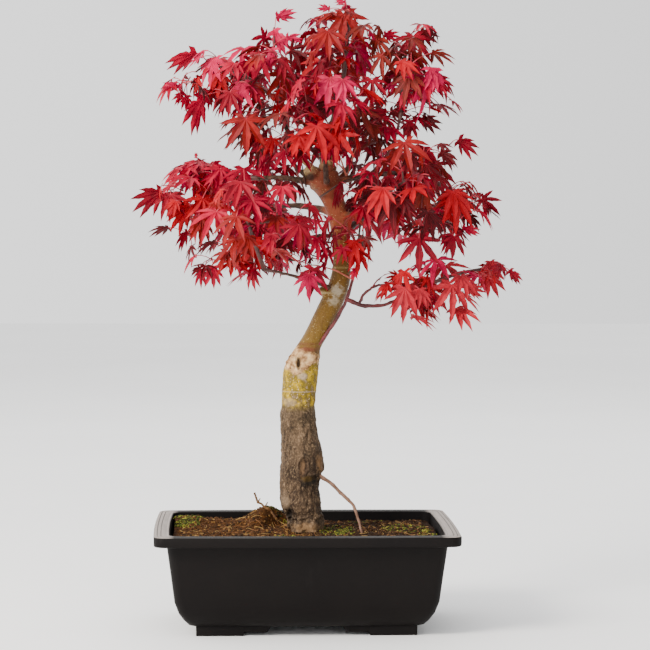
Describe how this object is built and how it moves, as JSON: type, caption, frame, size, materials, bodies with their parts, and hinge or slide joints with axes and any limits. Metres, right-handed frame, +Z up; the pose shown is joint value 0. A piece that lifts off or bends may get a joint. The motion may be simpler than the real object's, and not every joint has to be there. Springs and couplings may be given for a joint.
{
  "type": "potted bonsai tree",
  "caption": "Red-leaved maple bonsai with a leaning, thickened trunk, spreading boughs and masses of lobed leaves, growing in a black rectangular footed training pot.",
  "frame": {"origin": "on the floor under the middle of the whole tree's bounding box", "axes": "+Z up, +X towards the low fork of boughs on the right as seen from the front, +Y towards the back; the pot's long sides run along X"},
  "size_m": [0.3559, 0.2545, 0.5691],
  "materials": {
    "pot_plastic": "matt moulded polypropylene, scuffed along the rim",
    "soil": "rough peat with moss",
    "bark": "weathered bark, smooth and ochre higher up",
    "young_bark": "smooth red young bark",
    "leaf": "satin crimson leaves"
  },
  "bodies": {
    "root": {"back_bough": "bark", "back_high_foliage": "leaf", "back_left_bough": "bark", "back_left_foliage": "leaf", "back_right_bough": "bark", "back_right_foliage": "leaf", "centre_foliage": "leaf", "front_bough": "bark", "front_left_foliage": "leaf", "front_right_bough": "bark", "front_right_foliage": "leaf", "inner_left_foliage": "leaf", "inner_right_foliage": "leaf", "leader": "bark", "left_high_bough": "bark", "left_inner_bough": "bark", "left_low_bough": "bark", "left_mid_bough": "bark", "left_upper_bough": "bark", "low_left_foliage": "leaf", "low_right_foliage": "leaf", "mid_left_foliage": "leaf", "mid_right_foliage": "leaf", "pot": "pot_plastic", "right_bough": "bark", "right_inner_bough": "bark", "right_low_bough": "bark", "right_low_fork": "young_bark", "right_riser": "bark", "shoot_foliage": "leaf", "side_root": "bark", "side_shoot": "young_bark", "soil": "soil", "soil_snag": "bark", "top_foliage": "leaf", "trunk": "bark", "upper_left_foliage": "leaf", "upper_right_foliage": "leaf"}
  },
  "joints": []
}
